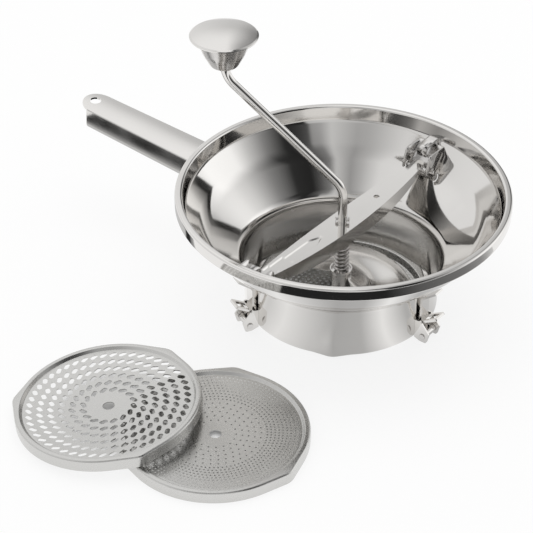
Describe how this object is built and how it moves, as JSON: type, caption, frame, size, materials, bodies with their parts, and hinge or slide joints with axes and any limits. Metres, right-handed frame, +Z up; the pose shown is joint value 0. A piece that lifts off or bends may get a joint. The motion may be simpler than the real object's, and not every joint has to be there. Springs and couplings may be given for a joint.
{
  "type": "food mill",
  "caption": "Stainless steel rotary food mill for straining tomatoes: bowl with crank, handle, spring-loaded bridge, folding feet and spare sieve discs.",
  "frame": {"origin": "on the crank axis, in the plane the base ring stands on", "axes": "+Z up along the crank axis, -X along the handle"},
  "size_m": [0.3633, 0.3889, 0.214],
  "materials": {
    "steel_bowl": "mirror-polished stainless steel, rolled rim",
    "steel_disc": "satin stainless steel, perforated",
    "steel_handle": "mirror-polished stainless steel sheet",
    "steel_bar": "polished stainless steel pressing",
    "steel_turned": "turned stainless steel, lightly polished",
    "steel_rod": "polished stainless steel rod",
    "steel_knob": "polished stainless steel, spun",
    "steel_spring": "drawn stainless spring wire",
    "steel_blade": "polished stainless steel sheet",
    "steel_foot": "polished stainless steel strip"
  },
  "bodies": {
    "mill_body": {"bowl": "steel_bowl", "sieve_disc_medium": "steel_disc", "handle_plate": "steel_handle", "handle_shell": "steel_handle", "handle_saddle": "steel_handle", "bowl_bracket_far": "steel_bar", "bowl_bracket_near": "steel_bar", "foot_bracket_1": "steel_foot", "foot_bracket_2": "steel_foot", "foot_bracket_3": "steel_foot", "foot_rivet_1": "steel_turned", "foot_rivet_2": "steel_turned", "foot_rivet_3": "steel_turned"},
    "bridge": {"bridge_bar": "steel_bar", "bridge_bush": "steel_turned", "bridge_pin_far": "steel_turned", "bridge_pin_near": "steel_turned", "spring_washer": "steel_turned", "spring": "steel_spring"},
    "crank": {"crank_rod": "steel_rod", "crank_stop_pin": "steel_turned", "knob_collar": "steel_turned", "knob_retainer": "steel_turned", "agitator_hub": "steel_turned", "agitator_hub_pin": "steel_turned", "agitator_blade": "steel_blade", "spring_cup": "steel_turned"},
    "knob": {"knob_cap": "steel_knob", "knob_cup": "steel_knob", "knob_sleeve": "steel_turned"},
    "foot_1": {"foot_leg_1": "steel_foot"},
    "foot_2": {"foot_leg_2": "steel_foot"},
    "foot_3": {"foot_leg_3": "steel_foot"},
    "spare_fine": {"sieve_disc_fine": "steel_disc"},
    "spare_coarse": {"sieve_disc_coarse": "steel_disc"}
  },
  "joints": [
    {"name": "bridge_press", "type": "slide", "parent": "mill_body", "child": "bridge", "axis": [0, 0, 1], "range_m": [-0.0036, 0], "stiffness_N_per_m": 1500, "deforming": ["spring"]},
    {"name": "crank_spin", "type": "hinge", "parent": "mill_body", "child": "crank", "pos_m": [0, 0, 0.0252], "axis": [0, 0, 1], "continuous": true},
    {"name": "knob_spin", "type": "hinge", "parent": "crank", "child": "knob", "pos_m": [-0.07838, -0.0349, 0.194], "axis": [0, 0, 1], "continuous": true},
    {"name": "foot_1_fold", "type": "hinge", "parent": "mill_body", "child": "foot_1", "pos_m": [0.07769, -0.00136, 0.005], "axis": [0.0175, 0.9998, 0], "range_deg": [0, 85]},
    {"name": "foot_2_fold", "type": "hinge", "parent": "mill_body", "child": "foot_2", "pos_m": [-0.03885, 0.06729, 0.005], "axis": [-0.866, -0.5, 0], "range_deg": [0, 85]},
    {"name": "foot_3_fold", "type": "hinge", "parent": "mill_body", "child": "foot_3", "pos_m": [-0.03528, -0.06923, 0.005], "axis": [0.891, -0.454, 0], "range_deg": [0, 85]},
    {"name": "spare_fine_lift", "type": "slide", "parent": "mill_body", "child": "spare_fine", "axis": [0, 0, 1], "range_m": [0, 0.06]},
    {"name": "spare_coarse_lift", "type": "slide", "parent": "spare_fine", "child": "spare_coarse", "axis": [0, 0, 1], "range_m": [0, 0.06]}
  ]
}
